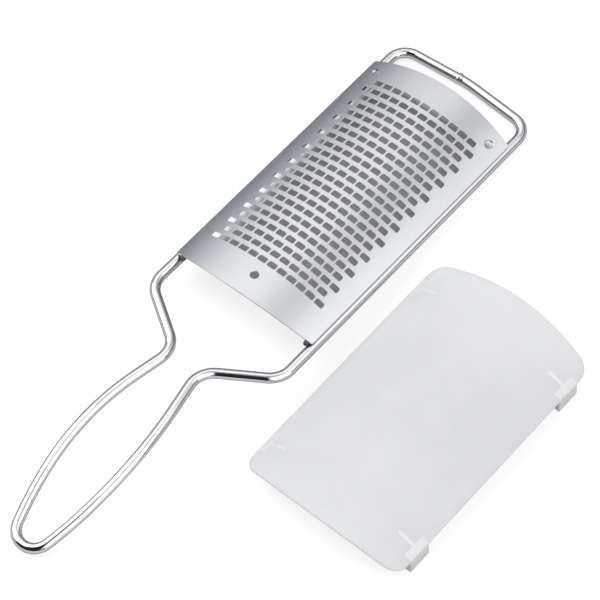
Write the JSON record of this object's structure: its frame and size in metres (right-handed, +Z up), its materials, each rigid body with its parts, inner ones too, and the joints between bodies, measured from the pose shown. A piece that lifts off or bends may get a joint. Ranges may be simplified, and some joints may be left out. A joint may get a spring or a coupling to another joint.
{
  "type": "hand cheese grater",
  "caption": "Flat hand grater: a domed steel plate with rows of small slots on a bent wire frame with a handle loop, with its clip-on cover lying beside it.",
  "frame": {"origin": "underside of the far bar at its middle, on the surface that the grater lies on", "axes": "+Y from the handle to the far bar, +X across the grater towards the cover, +Z up"},
  "size_m": [0.1445, 0.2526, 0.0199],
  "materials": {
    "polished_wire": "polished",
    "satin_steel": "satin",
    "weld_metal": "dull",
    "milky_plastic": "translucent satin"
  },
  "bodies": {
    "grater": {"wire_frame": "polished_wire", "grater_plate": "satin_steel", "weld_left_near": "weld_metal", "weld_left_middle": "weld_metal", "weld_left_far": "weld_metal", "weld_right_near": "weld_metal", "weld_right_middle": "weld_metal", "weld_right_far": "weld_metal"},
    "cover": {"blade_cover": "milky_plastic"}
  },
  "joints": [
    {"name": "cover_carry", "type": "slide", "parent": "grater", "child": "cover", "axis": [-0.559, 0.3954, 0.7288], "range_m": [0, 0.136]}
  ]
}
